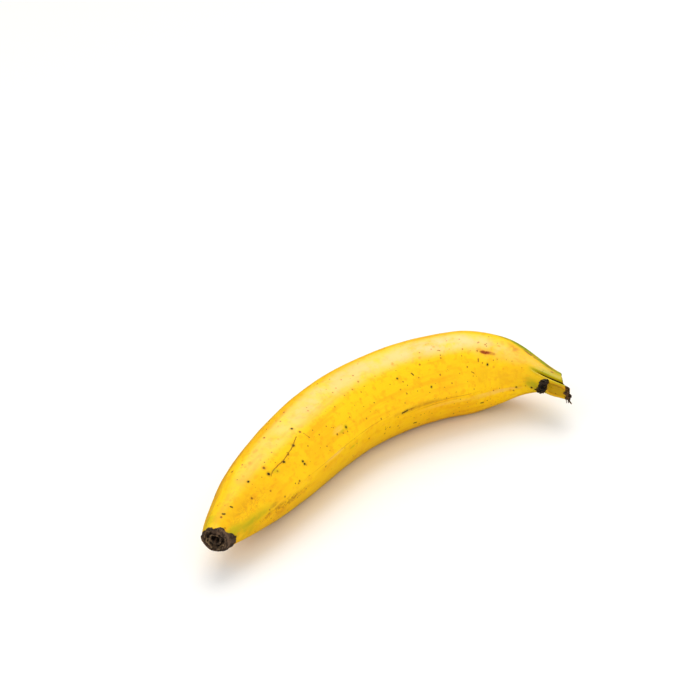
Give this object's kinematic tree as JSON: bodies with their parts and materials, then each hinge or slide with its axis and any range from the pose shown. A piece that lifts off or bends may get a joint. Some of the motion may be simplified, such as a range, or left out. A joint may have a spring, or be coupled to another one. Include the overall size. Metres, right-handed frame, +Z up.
{
  "type": "plantain",
  "caption": "Curved ripe fruit with blunt lengthwise ridges, a dried blossom scar and a torn stalk, lying on its side.",
  "frame": {"origin": "on the surface that the fruit lies on, under the middle of its bounding box", "axes": "+X along the longest extent, from the blossom end to the stalk end; +Y towards the outer side of the bend; +Z up"},
  "size_m": [0.2104, 0.1, 0.0447],
  "materials": {
    "peel": "waxy ripe yellow peel with brown freckles and scuffs, black-brown dried tissue at both ends"
  },
  "bodies": {
    "root": {"plantain": "peel"}
  },
  "joints": []
}
